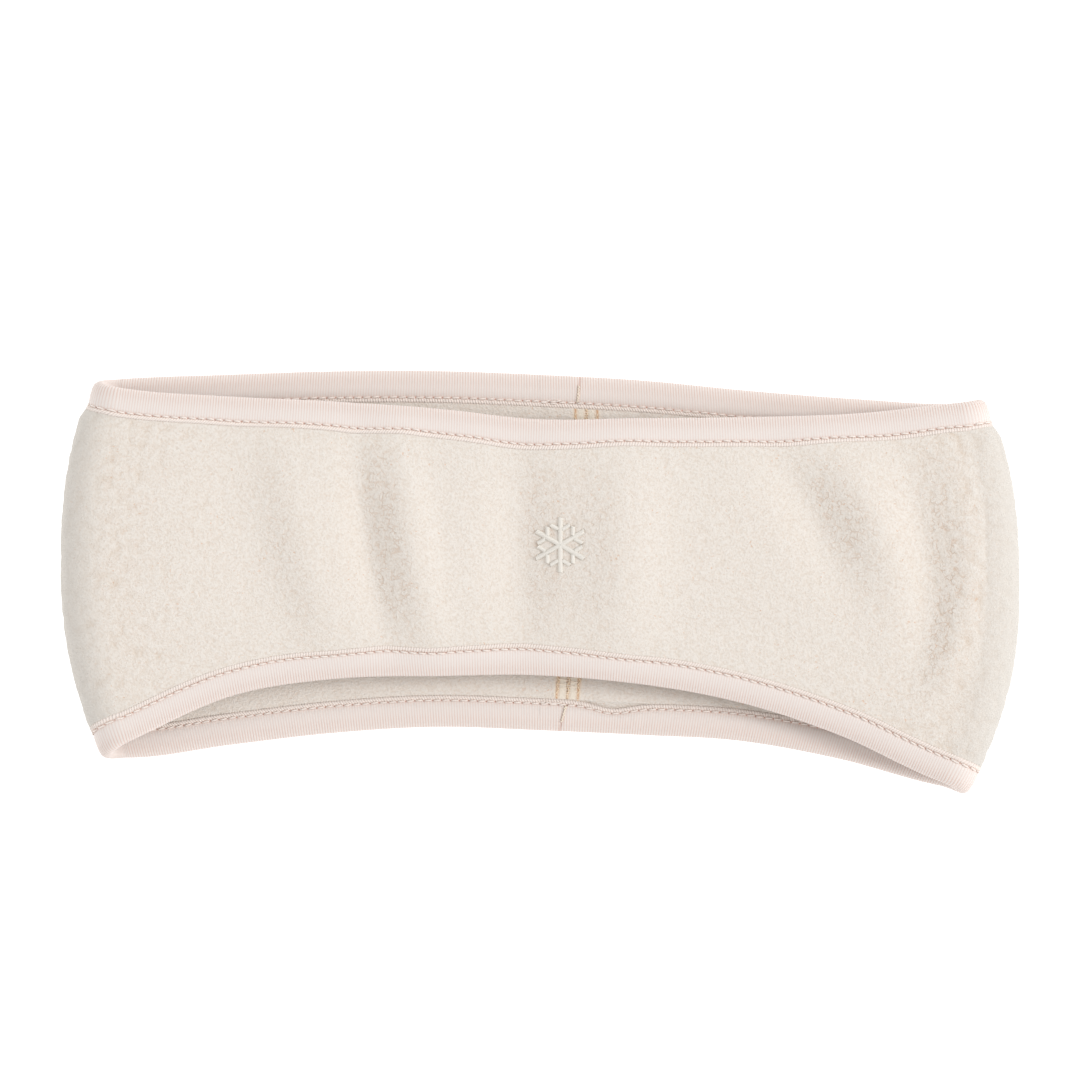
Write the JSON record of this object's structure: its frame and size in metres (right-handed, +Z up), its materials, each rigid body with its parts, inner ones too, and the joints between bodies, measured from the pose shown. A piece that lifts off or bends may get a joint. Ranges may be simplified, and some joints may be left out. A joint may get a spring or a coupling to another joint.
{
  "type": "ear warmer headband",
  "caption": "Fleece headband that covers the forehead and ears, a sewn loop with a ribbed elastic binding along its top and bottom edges, laid flat.",
  "frame": {"origin": "on the surface that the band lies on, under the middle of its outline", "axes": "+X along the flattened band, +Y to its top edge, +Z up from the surface through the front panel"},
  "size_m": [0.254, 0.1123, 0.0207],
  "materials": {
    "fleece": "cream microfleece with a short pebbled pile, matt",
    "binding": "pale pink ribbed elastic tape with a faint satin sheen, stitched in a matching thread"
  },
  "bodies": {
    "root": {"fleece_band": "fleece", "top_binding": "binding", "bottom_binding": "binding"}
  },
  "joints": []
}
